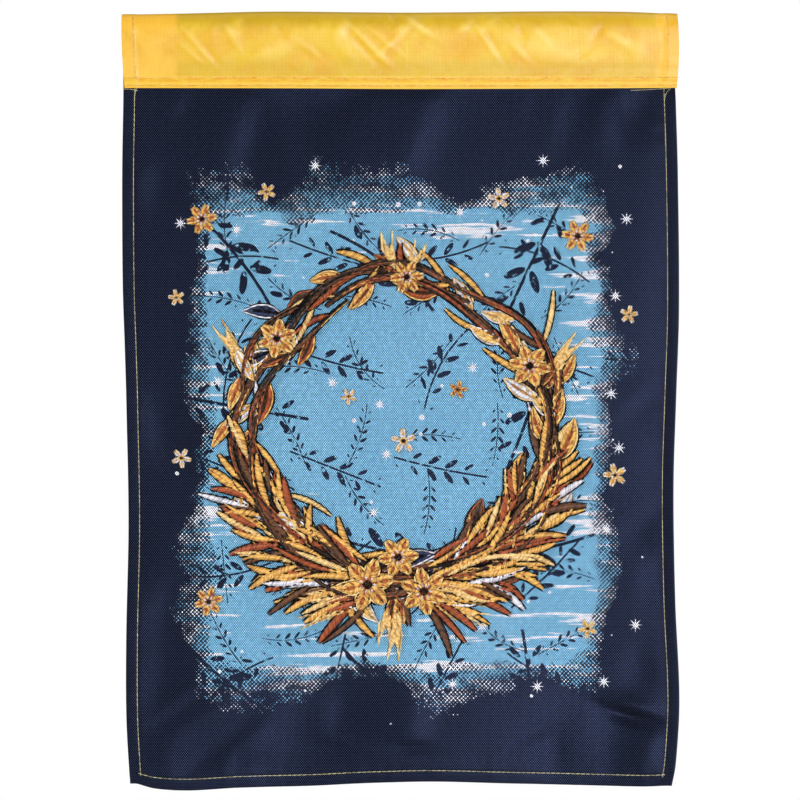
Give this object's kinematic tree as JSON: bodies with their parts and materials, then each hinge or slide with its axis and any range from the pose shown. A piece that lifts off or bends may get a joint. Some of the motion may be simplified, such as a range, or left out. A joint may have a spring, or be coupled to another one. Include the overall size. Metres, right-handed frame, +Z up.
{
  "type": "garden flag",
  "caption": "Hanging garden flag: a navy cloth panel with turned hems, a golden rod sleeve open at both ends, and soft creases, decorated with a printed and stitched leaf wreath.",
  "frame": {"origin": "mount rod_sleeve: the crest of the sleeve's fold, midway along the sleeve", "axes": "+Z up, +X along the sleeve to the right as seen from the front, -Y out of the decorated front"},
  "size_m": [0.3266, 0.0145, 0.4575],
  "materials": {
    "navy_cloth": "coarse woven polyester, matt",
    "golden_cloth": "thin closely woven polyester with a soft sheen"
  },
  "bodies": {
    "root": {"panel": "navy_cloth", "sleeve": "golden_cloth"}
  },
  "joints": []
}
